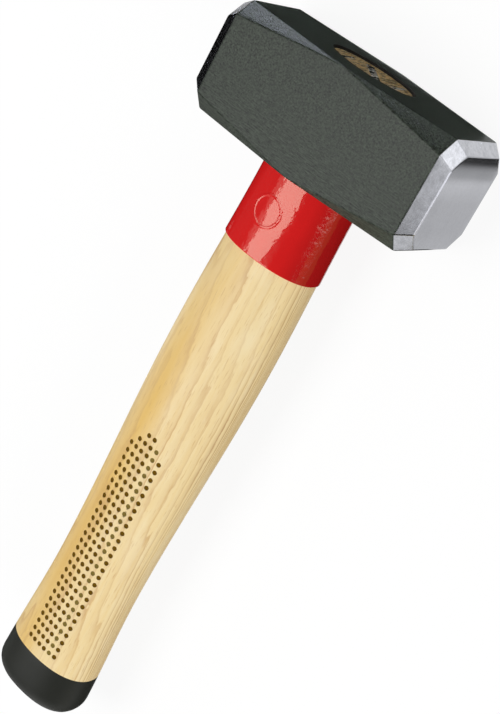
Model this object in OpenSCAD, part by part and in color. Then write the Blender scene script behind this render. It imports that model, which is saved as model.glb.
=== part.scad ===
// Club hammer: forged head, hickory handle, collar sleeve, three wedges and a dipped butt.
// The hammer lies on one side face of its head. +X runs through the striking faces,
// +Y from the handle towards the top of the head, and +Z up. The origin is the
// centre of the head's lower side face.

/* [Head] */
// Length of the head over both striking faces
head_l = 95; // [80:1:130]
// Width of the square head
head_w = 40; // [36:0.5:56]
// Leg of each corner chamfer at its widest, where the ground bevel starts
chamfer_leg = 5.8; // [2:0.1:7.5]
// Length of the ground bevel at each end
bevel_l = 4.8; // [2:0.1:8]
// Distance that the ground bevel steps in from each side
bevel_in = 3.2; // [1.5:0.1:5]
// Leg of the cut corners of each striking face
face_leg = 5.4; // [2:0.1:7.5]

/* [Eye] */
// Length of the oval eye at the top of the head
eye_l = 31.8; // [27:0.1:34]
// Width of the oval eye at the top of the head
eye_w = 19.6; // [17:0.1:24]
// How much shorter the eye is where the handle enters
eye_taper = 1.4; // [0:0.1:3]
// Size of the small chamfer around the top rim of the eye
eye_rim = 0.6; // [0.2:0.1:1.5]

/* [Handle] */
// Length of the handle over all
handle_l = 261.6; // [240:0.1:320]
// Distance of the end of the tenon below the top of the head
tenon_sink = 0.8; // [0.2:0.1:3]
// Clearance around the tenon in the eye
tenon_gap = 0.1; // [0.02:0.01:0.3]
// Width of the handle where it meets the head
neck_w = 35; // [32.5:0.1:38]
// Thickness of the handle where it meets the head
neck_t = 25.4; // [22:0.1:32]
// Width of the handle at its widest place below the collar
belly_w = 38.2; // [34:0.1:44]
// Thickness of the handle at its widest place below the collar
belly_t = 27.4; // [23:0.1:34]
// Distance of the widest place from the head
belly_at = 70; // [50:1:90]
// Width of the handle at its waist
waist_w = 34; // [28:0.1:40]
// Thickness of the handle at its waist
waist_t = 24.6; // [20:0.1:30]
// Distance of the waist from the head
waist_at = 164; // [120:1:180]
// Width of the handle at its butt
butt_w = 38; // [32:0.1:44]
// Thickness of the handle at its butt
butt_t = 27.4; // [22:0.1:34]
// Radius that rounds the butt
butt_round = 8.6; // [2:0.1:10]
// Shape of the handle's oval: 2 is an ellipse, and more is squarer
oval_power = 2.25; // [2:0.05:3]

/* [Collar sleeve] */
// Length of the collar sleeve
collar_l = 30.4; // [15:0.1:45]
// Wall of the collar sleeve
collar_wall = 0.6; // [0.4:0.05:3]
// Clearance between the collar sleeve and the handle
collar_gap = 0.1; // [0.02:0.01:0.3]

/* [End dip] */
// Length of the dipped end
dip_l = 19.4; // [12:0.1:40]
// Thickness of the coat
dip_t = 0.4; // [0.2:0.05:1]

/* [Wedges] */
// Depth to which each wedge is driven
wedge_depth = 18; // [10:0.5:28]
// Thickness of each wedge at its tip
wedge_tip = 0.5; // [0.3:0.1:1]
// Thickness of the two side wedges at their head
side_wedge_t = 1.6; // [1:0.1:2.4]
// Distance of each side wedge from the end of the eye
side_wedge_in = 6.1; // [5:0.1:7]
// Distance that each side wedge lies off the eye's long axis
side_wedge_off = 2; // [0:0.1:2.5]
// Wood left between the end of a side wedge and the eye
side_wedge_wood = 1.1; // [0.8:0.1:3]
// Thickness of the middle wedge at its head
middle_wedge_t = 3.2; // [2:0.1:4]
// Turn of the middle wedge away from straight across the eye
middle_wedge_turn = 41; // [0:1:45]
// Wood left between each end of the middle wedge and the eye
middle_wedge_wood = 3.1; // [2:0.1:5]

/* [Hidden] */
steel_finish = [0.24, 0.25, 0.24];
wedge_finish = [0.55, 0.55, 0.53];
wood_finish = [0.88, 0.77, 0.55];
collar_finish = [0.8, 0.1, 0.1];
dip_finish = [0.15, 0.15, 0.15];

half_w = head_w / 2;
// The bevels start here, measured along X from the middle of the head
bevel_start = head_l / 2 - bevel_l;
tenon_l = head_w - tenon_sink;
tenon_top = half_w - tenon_sink;
// Length of the handle below the head
grip_l = handle_l - tenon_l;
eye_ratio = eye_w / eye_l;
// The eye's reach from its middle in a direction turned away from straight across it
function eye_reach(turn) = 1 / norm([2 * sin(turn) / eye_l, 2 * cos(turn) / eye_w]);
// Half the eye's width at the distance x from its middle
function eye_half_w(x) = eye_w / 2 * sqrt(1 - pow(2 * x / eye_l, 2));
side_wedge_at = eye_l / 2 - side_wedge_in;
side_wedge_w = 2 * (eye_half_w(side_wedge_at) - side_wedge_off - side_wedge_wood);
middle_wedge_w = 2 * (eye_reach(middle_wedge_turn) - middle_wedge_wood);
// A block this large removes everything outside a cutting plane
cut_block = 3 * head_l;
// The tenon and the cutting tools run this far past the faces that they meet
overrun = 1;

// Points around each oval, steps along the bare handle, and steps round the butt
oval_sides = 56;
grip_steps = 36;
dip_steps = 4;
round_step = 11.25;
lip_step = 30;

function ease(t) = (1 - cos(180 * t)) / 2;
function mix(a, b, t) = a + (b - a) * ease(t);

// A size of the handle at the distance d below the head, from its four named sizes
function along(d, neck, belly, waist, butt) =
    d < belly_at ? mix(neck, belly, d / belly_at)
    : d < waist_at ? mix(belly, waist, (d - belly_at) / (waist_at - belly_at))
    : mix(waist, butt, (d - waist_at) / (grip_l - waist_at));

function curve(v) = sign(v) * pow(abs(v), 2 / oval_power);

// One oval ring of the handle at the distance d below the head, grown outwards by grow
function ring(d, grow) =
    let (half_x = along(d, neck_w, belly_w, waist_w, butt_w) / 2 + grow)
    let (half_z = along(d, neck_t, belly_t, waist_t, butt_t) / 2 + grow)
    [for (i = [0 : oval_sides - 1])
        let (a = 360 * i / oval_sides)
        [half_x * curve(cos(a)), -half_w - d, half_w + half_z * curve(sin(a))]];

// Rings of the dipped end from its edge to the butt, inset below the finished surface
function dip_rings(inset) =
    let (straight = dip_l - butt_round)
    concat(
        [for (i = [0 : dip_steps]) ring(grip_l - dip_l + straight * i / dip_steps, -inset)],
        [for (a = [round_step : round_step : 90])
            ring(grip_l - butt_round + (butt_round - inset) * sin(a),
                -inset - (butt_round - inset) * (1 - cos(a)))]);

function reversed(list) = [for (i = [len(list) - 1 : -1 : 0]) list[i]];

// A solid through rings of points, with flat ends, or joined end to start when looped
module loft(rings, looped = false) {
    n = len(rings[0]);
    m = len(rings);
    points = [for (r = rings) each r];
    walls = [for (j = [0 : looped ? m - 1 : m - 2])
        for (i = [0 : n - 1])
            let (k = (i + 1) % n)
            let (next = (j + 1) % m * n)
            each [[j * n + i, next + k, j * n + k], [j * n + i, next + i, next + k]]];
    ends = looped ? [] : [[for (i = [0 : n - 1]) i], [for (i = [n - 1 : -1 : 0]) (m - 1) * n + i]];
    polyhedron(points, concat(walls, ends), convexity = 4);
}

// An elliptic plug along the eye's axis between two heights, with its length at each
module oval_plug(y_low, y_high, l_low, l_high) {
    translate([0, y_low, half_w])
        rotate([-90, 0, 0])
            scale([1, eye_ratio, 1])
                cylinder(h = y_high - y_low, d1 = l_low, d2 = l_high, $fn = 64);
}

// The eye's length at the height y, which grows towards the top of the head
function eye_l_at(y) = eye_l - eye_taper * (half_w - y) / head_w;

// Removes what lies beyond the plane through point p whose outward normal is n
module cut_beyond(p, n) {
    translate(p)
        rotate([0, acos(n[2] / norm(n)), atan2(n[1], n[0])])
            translate([-cut_block / 2, -cut_block / 2, 0])
                cube(cut_block);
}

// The four tapering corner chamfers of one half of the head, on the side of end = 1 or -1
module corner_chamfers(end) {
    for (top = [-1, 1], side = [-1, 1])
        cut_beyond([0, top * half_w, side * half_w],
            [end * chamfer_leg, top * bevel_start, side * bevel_start]);
}

// The eight ground facets around one striking face, on the side of end = 1 or -1
module end_bevels(end) {
    start = end * bevel_start;
    corner_lean = 2 * bevel_in + face_leg - chamfer_leg;
    for (side = [-1, 1]) {
        cut_beyond([start, side * half_w, 0], [end * bevel_in, side * bevel_l, 0]);
        cut_beyond([start, 0, side * half_w], [end * bevel_in, 0, side * bevel_l]);
        for (top = [-1, 1])
            cut_beyond([start, top * half_w, side * (half_w - chamfer_leg)],
                [end * corner_lean, top * bevel_l, side * bevel_l]);
    }
}

module head() {
    color(steel_finish)
        difference() {
            translate([0, 0, half_w])
                difference() {
                    cube([head_l, head_w, head_w], center = true);
                    for (end = [-1, 1]) {
                        corner_chamfers(end);
                        end_bevels(end);
                    }
                }
            oval_plug(-half_w - overrun, half_w + overrun,
                eye_l_at(-half_w - overrun), eye_l_at(half_w + overrun));
            oval_plug(half_w - eye_rim, half_w + overrun,
                eye_l_at(half_w - eye_rim), eye_l + 2 * (eye_rim + overrun));
        }
}

// A wedge between the given places on the tenon's end; its kerf is the same shape
module wedge(x, z, turn, thickness, width) {
    translate([x, tenon_top, half_w + z])
        rotate([0, turn, 0])
            linear_extrude(width, center = true)
                polygon([[-thickness / 2, 0], [-wedge_tip / 2, -wedge_depth],
                    [wedge_tip / 2, -wedge_depth], [thickness / 2, 0]]);
}

module left_wedge_shape() {
    wedge(-side_wedge_at, side_wedge_off, 0, side_wedge_t, side_wedge_w);
}

module middle_wedge_shape() {
    wedge(0, 0, middle_wedge_turn, middle_wedge_t, middle_wedge_w);
}

module right_wedge_shape() {
    wedge(side_wedge_at, -side_wedge_off, 0, side_wedge_t, side_wedge_w);
}

module handle() {
    bare = grip_l - dip_l;
    grip = [for (i = [0 : grip_steps]) ring(bare * i / grip_steps, 0)];
    color(wood_finish)
        union() {
            loft(concat(grip, dip_rings(dip_t)));
            difference() {
                oval_plug(-half_w - overrun, tenon_top,
                    eye_l_at(-half_w - overrun) - 2 * tenon_gap, eye_l_at(tenon_top) - 2 * tenon_gap);
                left_wedge_shape();
                middle_wedge_shape();
                right_wedge_shape();
            }
        }
}

module collar_sleeve() {
    outer = collar_gap + collar_wall;
    lip = collar_wall / 2;
    straight = collar_l - lip;
    steps = 5;
    outside = [for (i = [0 : steps]) ring(straight * i / steps, outer)];
    edge = [for (a = [lip_step : lip_step : 90]) ring(straight + lip * sin(a), outer - lip * (1 - cos(a)))];
    inside = [for (i = [steps : -1 : 0]) ring(collar_l * i / steps, collar_gap)];
    color(collar_finish) loft(concat(outside, edge, inside), looped = true);
}

module wedge_left() {
    color(wedge_finish) left_wedge_shape();
}

module wedge_middle() {
    color(wedge_finish) middle_wedge_shape();
}

module wedge_right() {
    color(wedge_finish) right_wedge_shape();
}

module end_dip() {
    color(dip_finish) loft(concat(reversed(dip_rings(dip_t)), dip_rings(0)));
}

head();
handle();
collar_sleeve();
wedge_left();
wedge_middle();
wedge_right();
end_dip();
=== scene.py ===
"""Club hammer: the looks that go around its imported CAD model.

The hammer lies on one side of its head. +X runs through the striking faces, +Y from the
handle to the top of the head and +Z up. Every length is in metres.
"""
import math

import bmesh
import bpy
import numpy as np
from bpy.props import FloatProperty, FloatVectorProperty, IntProperty, PointerProperty
from mathutils import Matrix, Vector
from mathutils.bvhtree import BVHTree


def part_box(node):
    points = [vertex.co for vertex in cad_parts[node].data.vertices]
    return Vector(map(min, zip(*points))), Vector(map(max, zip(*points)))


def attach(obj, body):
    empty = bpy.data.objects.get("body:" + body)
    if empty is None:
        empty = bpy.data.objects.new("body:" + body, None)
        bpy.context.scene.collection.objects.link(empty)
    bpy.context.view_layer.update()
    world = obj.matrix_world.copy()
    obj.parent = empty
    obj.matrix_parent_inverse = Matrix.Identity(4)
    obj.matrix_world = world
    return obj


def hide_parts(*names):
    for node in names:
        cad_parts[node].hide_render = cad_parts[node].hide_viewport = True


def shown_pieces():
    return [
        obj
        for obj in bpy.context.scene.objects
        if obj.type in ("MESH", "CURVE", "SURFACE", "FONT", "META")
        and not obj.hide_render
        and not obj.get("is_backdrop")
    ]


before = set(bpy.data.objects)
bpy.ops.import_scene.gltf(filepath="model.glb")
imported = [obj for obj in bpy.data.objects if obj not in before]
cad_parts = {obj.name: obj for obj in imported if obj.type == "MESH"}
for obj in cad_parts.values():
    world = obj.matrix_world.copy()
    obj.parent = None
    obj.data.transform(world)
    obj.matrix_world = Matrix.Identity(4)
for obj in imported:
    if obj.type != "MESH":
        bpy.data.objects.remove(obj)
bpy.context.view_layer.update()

bl_info = {
    "name": "Club Hammer",
    "version": (1, 0, 0),
    "blender": (4, 5, 0),
    "location": "View3D > Sidebar > Club Hammer",
    "description": "Dresses the CAD model of a club hammer and sets up its studio",
    "category": "Object",
}

PREFIX = "Club hammer "

# Where things show in the photograph's frame, in pixels from its top left corner
PHOTO_W, PHOTO_H = 500, 714
IMAGE_POINTS = {
    "object_left": (1.5, 654.5),
    "object_right": (499.2, 159.5),
    "object_top": (255.0, 0.6),
    "object_bottom": (61.0, 712.5),
    "head_left": (196.2, 80.0),
    "head_bottom": (394.8, 251.2),
    "side_corner_upper": (441.6, 154.5),
    "side_corner_lower": (394.6, 236.0),
    "side_corner_far": (237.0, 12.5),
    "collar_end_left": (224.7, 228.1),
    "collar_end_right": (312.4, 287.7),
    "dip_edge_left": (17.2, 622.0),
    "dip_edge_right": (99.9, 674.6),
    "dots_upper_left": (131.5, 441.5),
    "dots_lower_left": (31.0, 634.0),
    "dots_upper_right": (158.5, 465.2),
    "dots_lower_right": (54.0, 657.3),
    "eye_left": (333.2, 46.5),
    "eye_right": (413.6, 96.4),
    "collar_ring": (267.0, 211.0),
}

# The camera that those points settle
CAMERA_LENS = 84.39
CAMERA_SENSOR = 36.0
CAMERA_PLACE = Vector((0.24018, 0.11877, 0.49307))
CAMERA_RIGHT = Vector((0.70973, 0.45411, -0.53858))
CAMERA_UP = Vector((-0.57493, 0.81518, -0.07032))

# Sizes read from the CAD model
HEAD_LOW, HEAD_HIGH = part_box("head")
HEAD_FOOT = HEAD_LOW.y
MID_Z = (HEAD_LOW.z + HEAD_HIGH.z) / 2
COLLAR_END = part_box("collar_sleeve")[0].y
BUTT_END, DIP_EDGE = (corner.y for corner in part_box("end_dip"))
MIDDLE = Vector((0.0, (HEAD_FOOT + BUTT_END) / 2, MID_Z))
WEDGES = ("wedge_left", "wedge_middle", "wedge_right")
# Points of the head this close to its middle, along X and along Z, belong to the eye
EYE_REACH = (0.0185, 0.0125)
# Points of the CAD model this close to a level lie in it
NEAR = 1e-5
# The power of a plain ellipse, which the eye and the tenon are
ELLIPSE = 2.0
# A point is hidden when something lies at least this far in front of it
HIDDEN = 2e-5


# ---------------------------------------------------------------- sizes and colours

def length(name, description, default):
    """A length setting in metres."""
    return FloatProperty(name=name, description=description, default=default, min=0.0,
                         unit="LENGTH", subtype="DISTANCE", precision=5)


def share(name, description, default):
    """A setting from 0 to 1."""
    return FloatProperty(name=name, description=description, default=default, min=0.0,
                         max=1.0, subtype="FACTOR")


def colour(name, description, default):
    """A colour setting, linear red, green and blue."""
    return FloatVectorProperty(name=name, description=description, default=default, size=3,
                               min=0.0, max=1.0, subtype="COLOR")


def number(name, description, default, **limits):
    """A setting in whole numbers."""
    return IntProperty(name=name, description=description, default=default, **limits)


def watts(name, description, default):
    """A lamp's power setting."""
    return FloatProperty(name=name, description=description, default=default, min=0.0,
                         unit="POWER")


class HeadSettings(bpy.types.PropertyGroup):
    """Sizes and colours of the forged head."""
    rounding: length("Edge rounding", "Radius of the head's edges", 0.00045)
    steps: number("Edge steps", "Steps round each edge", 3, min=1, max=6)
    paint: colour("Paint", "Colour of the matt paint", (0.034, 0.042, 0.032))
    paint_grain: length("Paint grain", "Size of the paint's fine grain", 0.0006)
    steel: colour("Ground steel", "Colour of the bare ground ends", (0.56, 0.57, 0.61))
    steel_roughness: share("Ground roughness", "Roughness of the ground ends", 0.22)


class HandleSettings(bpy.types.PropertyGroup):
    """Sizes and colours of the hickory handle."""
    sides: number("Sides", "Faces around the handle", 144, min=24, max=256)
    step: length("Step", "Length of one face along the handle", 0.0011)
    pale: colour("Pale wood", "Colour of the palest wood", (0.82, 0.66, 0.37))
    warm: colour("Warm wood", "Colour of the warm streaks", (0.75, 0.47, 0.11))
    line: colour("Ring line", "Colour of the growth lines", (0.52, 0.29, 0.12))
    cream: colour("Cream wood", "Colour of the light patches", (0.86, 0.73, 0.47))
    ring: length("Growth ring", "Distance between growth rings", 0.0042)
    end_grain: colour("End grain", "Colour of the wood in the eye", (0.88, 0.60, 0.24))


class DotSettings(bpy.types.PropertyGroup):
    """Sizes of the pressed dots on the grip."""
    rows: number("Rows", "Rows across the grip", 6, min=1)
    count: number("Dots", "Dots in each outer row", 27, min=2)
    extra: number("Extra dots", "More dots in the middle rows", 2, min=0)
    diameter: length("Diameter", "Diameter of a dot", 0.00180)
    depth: length("Depth", "Depth of a dot", 0.00036)
    scatter: length("Scatter", "How far a dot strays from its row", 0.00005)
    seed: number("Seed", "Seed of the scatter", 7)
    burnt: colour("Burnt wood", "Colour inside the dots", (0.135, 0.070, 0.004))
    scorched: colour("Scorched wood", "Colour inside the lighter row's dots",
                     (0.19, 0.135, 0.032))


class CollarSettings(bpy.types.PropertyGroup):
    """Sizes and colour of the collar sleeve."""
    lip: length("Lip", "Radius of the free edge", 0.0004)
    ring_radius: length("Ring radius", "Radius of the plain raised ring", 0.0054)
    ring_width: length("Ring width", "Width of the raised ring's line", 0.0010)
    ring_height: length("Ring height", "Height of the raised ring", 0.0002)
    plastic: colour("Plastic", "Colour of the sleeve", (0.65, 0.014, 0.014))


class WedgeSettings(bpy.types.PropertyGroup):
    """Finish of the three steel wedges."""
    rounding: length("Edge rounding", "Radius of a wedge's edges", 0.00018)
    steel: colour("Wedge steel", "Colour of the sheared steel", (0.80, 0.77, 0.70))


class DipSettings(bpy.types.PropertyGroup):
    """Finish of the dipped butt."""
    lip: length("Lip", "Radius of the coat's edge", 0.00018)
    coat: colour("Coat", "Colour of the black coat", (0.0185, 0.0195, 0.0165))


class StageSettings(bpy.types.PropertyGroup):
    """Floor, lamps and surroundings."""
    key_power: watts("Key lamp", "Power of the large soft lamp", 6.6)
    right_power: watts("Right lamp", "Power of the right fill lamp", 7.8)
    left_power: watts("Left lamp", "Power of the left fill lamp", 2.6)
    surround: share("Surround", "Strength of the plain surround", 0.22)
    floor: colour("Floor", "Colour of the floor where it lights the hammer",
                  (0.4, 0.4, 0.4))
    shade: share("Shade", "How much of the shadow the white floor shows", 0.10)
    shade_reach: length("Shade reach", "Distance at which the floor is plain white", 1.0)


class HammerSettings(bpy.types.PropertyGroup):
    """All settings of the club hammer."""
    head: PointerProperty(type=HeadSettings)
    handle: PointerProperty(type=HandleSettings)
    dots: PointerProperty(type=DotSettings)
    collar: PointerProperty(type=CollarSettings)
    wedges: PointerProperty(type=WedgeSettings)
    dip: PointerProperty(type=DipSettings)
    stage: PointerProperty(type=StageSettings)


# ---------------------------------------------------------------- camera and image points

def camera_turn():
    """The camera's axes as a rotation matrix."""
    right = CAMERA_RIGHT.normalized()
    back = right.cross(CAMERA_UP).normalized()
    return Matrix((right, back.cross(right), back)).transposed()


def camera_scale():
    """The camera's data, and the image's long side in pixels."""
    return bpy.context.scene.camera.data, max(PHOTO_W, PHOTO_H)


def place(point_name, tree):
    """The point of a finished surface that shows at a named image point."""
    data, long_side = camera_scale()
    x, y = IMAGE_POINTS[point_name]
    ray = camera_turn() @ Vector((x - PHOTO_W / 2 + data.shift_x * long_side,
                                  PHOTO_H / 2 - y + data.shift_y * long_side,
                                  -long_side * data.lens / data.sensor_width))
    ray.normalize()
    hit = tree.ray_cast(CAMERA_PLACE, ray)[0]
    if hit is not None:
        return hit
    return tree.find_nearest(CAMERA_PLACE + ray * (MIDDLE - CAMERA_PLACE).dot(ray))[0]


def project(points):
    """Image coordinates of points, in the photograph's frame."""
    data, long_side = camera_scale()
    local = (np.asarray(points) - np.array(CAMERA_PLACE)) @ np.array(camera_turn())
    scale = long_side * data.lens / data.sensor_width / -local[:, 2]
    return np.stack([PHOTO_W / 2 + local[:, 0] * scale - data.shift_x * long_side,
                     PHOTO_H / 2 - local[:, 1] * scale + data.shift_y * long_side], 1)


# ---------------------------------------------------------------- shapes

def cad_points(node):
    """The points of a CAD node, as an array."""
    return np.array([v.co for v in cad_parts[node].data.vertices])


def head_points():
    """The CAD points of the eye, and those of the head around it."""
    points = cad_points("head")
    in_eye = ((np.abs(points[:, 0]) < EYE_REACH[0])
              & (np.abs(points[:, 2] - MID_Z) < EYE_REACH[1]))
    return points[in_eye], points[~in_eye]


def outline(points):
    """A row of (y, half width, half thickness) for each ring of points, from the top down."""
    rows = []
    for y in np.unique(np.round(points[:, 1], 5))[::-1]:
        ring = points[np.abs(points[:, 1] - y) < NEAR]
        rows.append((y, np.abs(ring[:, 0]).max(), np.abs(ring[:, 2] - MID_Z).max()))
    return np.array(rows)


def smooth(y, knots, values):
    """The value at y on a smooth curve through knots that fall from the head to the butt."""
    slopes = np.gradient(values, knots)
    i = min(max(np.searchsorted(-knots, -y, side="right") - 1, 0), len(knots) - 2)
    h = knots[i + 1] - knots[i]
    t = (y - knots[i]) / h
    return ((2 * t ** 3 - 3 * t ** 2 + 1) * values[i] + (t ** 3 - 2 * t ** 2 + t) * h * slopes[i]
            + (3 * t ** 2 - 2 * t ** 3) * values[i + 1] + (t ** 3 - t ** 2) * h * slopes[i + 1])


class Grip:
    """The handle's outline, measured from the rings of its CAD solid."""

    def __init__(self):
        points = cad_points("handle")
        below = points[points[:, 1] < HEAD_FOOT + NEAR]
        rows = outline(below)
        bare = rows[:, 0] > DIP_EDGE - NEAR
        self.bare, self.covered = rows[bare], rows[~bare]
        # Where the first ring crosses its diagonal tells how square the oval is
        y, half_x, half_z = rows[0]
        ring = below[np.abs(below[:, 1] - y) < NEAR]
        x, z = np.abs(ring[:, 0]) / half_x, np.abs(ring[:, 2] - MID_Z) / half_z
        corner = np.argmin(np.where(x + z > 1, np.abs(x - z), np.inf))
        self.power = -math.log(2) / math.log((x[corner] + z[corner]) / 2)

    def row(self, y, grow=0.0):
        """The bare handle's (y, half width, half thickness) at y, grown outwards."""
        knots, half_x, half_z = self.bare.T
        return y, smooth(y, knots, half_x) + grow, smooth(y, knots, half_z) + grow


def ovals(rows, power, sides):
    """A ring of points across the handle for each row of (y, half width, half thickness)."""
    rings = []
    for y, half_x, half_z in rows:
        ring = []
        for i in range(sides):
            a = 2 * math.pi * i / sides
            c, s = math.cos(a), math.sin(a)
            ring.append((half_x * math.copysign(abs(c) ** (2 / power), c), y,
                         MID_Z + half_z * math.copysign(abs(s) ** (2 / power), s)))
        rings.append(ring)
    return rings


def quarter(steps):
    """The angles that cut a quarter turn into steps."""
    return [math.radians(90 * i / steps) for i in range(steps + 1)]


def show(name, data):
    """A new object at the origin with that mesh, lamp or camera."""
    piece = bpy.data.objects.new(name, data)
    bpy.context.scene.collection.objects.link(piece)
    return piece


def show_faces(name, points, faces):
    """A new object from points and faces."""
    mesh = bpy.data.meshes.new(name)
    mesh.from_pydata(points, [], faces)
    return show(name, mesh)


def show_body(name, body, *finishes):
    """A new object from a bmesh, in its finishes."""
    mesh = bpy.data.meshes.new(name)
    body.to_mesh(mesh)
    body.free()
    for finish in finishes:
        mesh.materials.append(finish)
    return show(name, mesh)


def loft(name, rings, looped=False):
    """A closed mesh object through rings of points that run from the head to the butt."""
    sides, total = len(rings[0]), len(rings)
    faces = []
    for j in range(total if looped else total - 1):
        low, high = j * sides, (j + 1) % total * sides
        for i in range(sides):
            k = (i + 1) % sides
            faces.append((low + i, low + k, high + k, high + i))
    if not looped:
        faces.append(tuple(range(sides))[::-1])
        faces.append(tuple(range((total - 1) * sides, total * sides)))
    piece = show_faces(name, [p for ring in rings for p in ring], faces)
    body = bmesh.new()
    body.from_mesh(piece.data)
    bmesh.ops.recalc_face_normals(body, faces=body.faces)
    body.to_mesh(piece.data)
    body.free()
    return piece


def make_flats_whole(body):
    """Joins the triangles that lie in one flat face of a bmesh."""
    bmesh.ops.dissolve_limit(body, angle_limit=math.radians(0.5), verts=body.verts,
                             edges=body.edges)


def merged(node):
    """A merged copy of a CAD node's mesh, with its flat faces made whole."""
    body = bmesh.new()
    body.from_mesh(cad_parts[node].data)
    bmesh.ops.remove_doubles(body, verts=body.verts, dist=1e-6)
    make_flats_whole(body)
    return body


def surface(piece):
    """A piece's finished surface, for rays."""
    return BVHTree.FromObject(piece, bpy.context.evaluated_depsgraph_get())


def settle(piece):
    """Bakes a piece's modifiers into a plain mesh."""
    graph = bpy.context.evaluated_depsgraph_get()
    mesh = bpy.data.meshes.new_from_object(piece.evaluated_get(graph),
                                           preserve_all_data_layers=True, depsgraph=graph)
    piece.modifiers.clear()
    old, piece.data = piece.data, mesh
    mesh.name = piece.name
    bpy.data.meshes.remove(old)


def work(piece, kind, **settings):
    """Puts a piece through one modifier."""
    change = piece.modifiers.new(kind.title(), kind)
    for key, value in settings.items():
        setattr(change, key, value)
    settle(piece)


def cut(piece, cutter):
    """Cuts a closed cutter out of a piece and deletes the cutter."""
    work(piece, "BOOLEAN", operation="DIFFERENCE", solver="MANIFOLD",
         material_mode="TRANSFER", object=cutter)
    bpy.data.objects.remove(cutter)


def shade(piece, angle):
    """Smooth shading with edges sharper than the angle, in degrees, kept crisp."""
    for face in piece.data.polygons:
        face.use_smooth = True
    piece.data.set_sharp_from_angle(angle=math.radians(angle))


def finish_piece(piece, node):
    """Puts a finished piece on the hammer in place of its CAD node."""
    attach(piece, "root")
    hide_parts(node)


# ---------------------------------------------------------------- node trees

class Nodes:
    """A node tree, built by short calls. A value may be a number, a colour or a socket."""

    def __init__(self, tree):
        self.tree = tree

    def put(self, value, socket):
        """Links a value that is a socket, and writes any other in the socket."""
        if isinstance(value, bpy.types.NodeSocket):
            self.tree.links.new(value, socket)
        elif socket.type == "RGBA":
            socket.default_value = (*value, 1.0)
        else:
            socket.default_value = value

    def node(self, kind, inputs=None, **settings):
        """A new node's outputs."""
        made = self.tree.nodes.new(kind)
        for key, value in settings.items():
            setattr(made, key, value)
        for key, value in (inputs or {}).items():
            self.put(value, made.inputs[key])
        return made.outputs

    def math(self, operation, a, b=0.0, clamp=False):
        """A Math node's result."""
        return self.node("ShaderNodeMath", {0: a, 1: b}, operation=operation,
                         use_clamp=clamp)[0]

    def plus(self, a, b):
        """a + b."""
        return self.math("ADD", a, b)

    def minus(self, a, b):
        """a - b."""
        return self.math("SUBTRACT", a, b)

    def times(self, a, *others):
        """a multiplied by the others in turn."""
        for b in others:
            a = self.math("MULTIPLY", a, b)
        return a

    def line(self, value, slope, start=0.0, clamp=False):
        """value * slope + start."""
        return self.node("ShaderNodeMath", {0: value, 1: slope, 2: start},
                         operation="MULTIPLY_ADD", use_clamp=clamp)[0]

    def mix(self, factor, a, b):
        """Two colours mixed."""
        return self.node("ShaderNodeMix", {0: factor, 6: a, 7: b}, data_type="RGBA")[2]

    def vector(self, operation, a, b=(0, 0, 0)):
        """The result of a sum of vectors, or a vector's length."""
        outputs = self.node("ShaderNodeVectorMath", {0: a, 1: b}, operation=operation)
        return outputs["Value" if operation == "LENGTH" else "Vector"]


class Paint(Nodes):
    """A material's node tree, on object coordinates."""

    def __init__(self, name):
        self.material = bpy.data.materials.new(PREFIX + name)
        self.material.use_nodes = True
        super().__init__(self.material.node_tree)
        self.coords = self.node("ShaderNodeTexCoord")["Object"]
        self.axes = self.node("ShaderNodeSeparateXYZ", {0: self.coords})

    def finish(self, **inputs):
        """The material, with inputs put in its shader and _ for a space in a name."""
        shader = self.tree.nodes["Principled BSDF"]
        for name, value in inputs.items():
            self.put(value, shader.inputs[name.replace("_", " ")])
        return self.material

    def moved(self, scale, turn=(0, 0, 0), shift=(0, 0, 0)):
        """Coordinates, stretched, turned and shifted."""
        return self.node("ShaderNodeMapping", {"Vector": self.coords, "Scale": scale,
                                               "Rotation": turn, "Location": shift})[0]

    def noise(self, scale, detail, roughness, turn=(0, 0, 0), shift=(0, 0, 0)):
        """A Noise texture's value. A scale with three numbers stretches it."""
        coords = self.coords
        if isinstance(scale, tuple):
            coords, scale = self.moved(scale, turn, shift), 1.0
        return self.node("ShaderNodeTexNoise", {
            "Vector": coords, "Scale": scale, "Detail": detail, "Roughness": roughness})[0]

    def fade(self, value, start, slope):
        """0 at the start, rising or falling to 1 by the slope, and flat beyond both."""
        return self.line(value, slope, -start * slope, clamp=True)

    def ramp(self, value, *stops):
        """A smooth ramp from value through (place, grey) stops."""
        made = self.tree.nodes.new("ShaderNodeValToRGB")
        self.put(value, made.inputs[0])
        elements = made.color_ramp.elements
        while len(elements) < len(stops):
            elements.new(0.5)
        for element, (at, grey) in zip(elements, stops):
            element.position = at
            element.color = (grey, grey, grey, 1.0)
        return made.outputs[0]

    def layers(self, tone, *laid_over):
        """A colour with others laid over it in turn, each as its share and its colour."""
        for part, other in laid_over:
            tone = self.mix(part, tone, other)
        return tone

    def bump(self, height, distance, strength, normal=None):
        """A Bump node's normal, from a height of 0 to 1 over a distance in metres."""
        inputs = {"Height": height, "Distance": distance, "Strength": strength}
        if normal is not None:
            inputs["Normal"] = normal
        return self.node("ShaderNodeBump", inputs)[0]


def scaled(tone, factor):
    """A colour made darker or lighter."""
    return tuple(min(1.0, c * factor) for c in tone)


# ---------------------------------------------------------------- materials

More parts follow.
